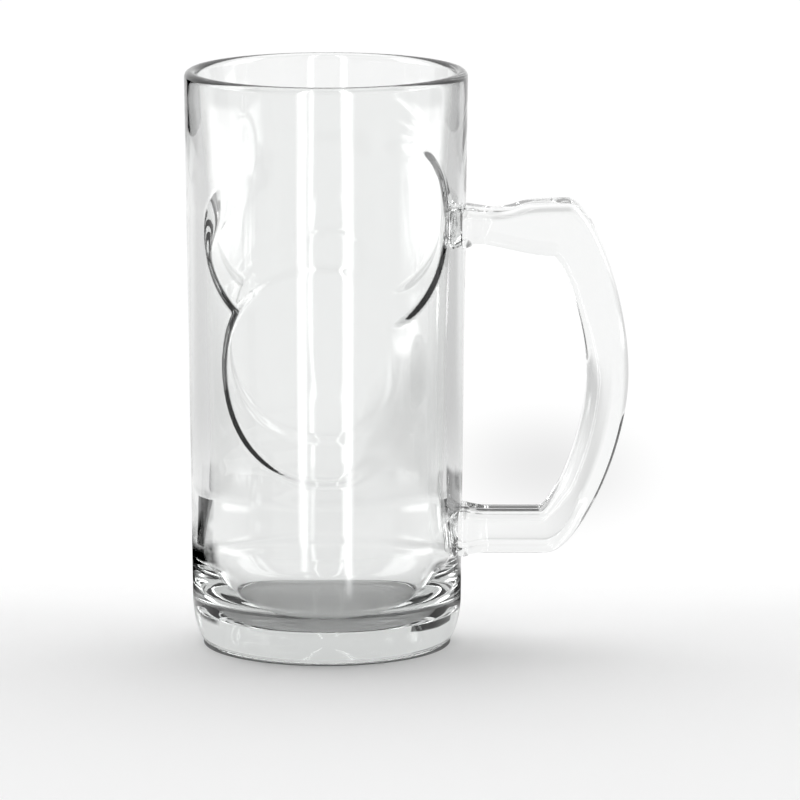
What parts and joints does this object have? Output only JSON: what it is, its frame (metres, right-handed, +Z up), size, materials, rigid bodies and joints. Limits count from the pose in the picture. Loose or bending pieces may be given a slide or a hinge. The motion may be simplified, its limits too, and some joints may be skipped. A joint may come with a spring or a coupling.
{
  "type": "glass juice mug",
  "caption": "Tall mug of thick clear glass with a heavy base, round lenses sunk into the inside of its wall and a D-shaped handle stuck on at the side.",
  "frame": {"origin": "on the body's axis, in the plane of the flat foot that the mug stands on", "axes": "+Z up along the body's axis, +X towards the handle, -Y and +Y towards the lenses"},
  "size_m": [0.1135, 0.0724, 0.148],
  "materials": {
    "body_glass": "clear soda-lime glass, fire-polished",
    "handle_glass": "clear soda-lime glass, pressed and fire-polished"
  },
  "bodies": {
    "root": {"mug_body": "body_glass", "handle": "handle_glass"}
  },
  "joints": []
}
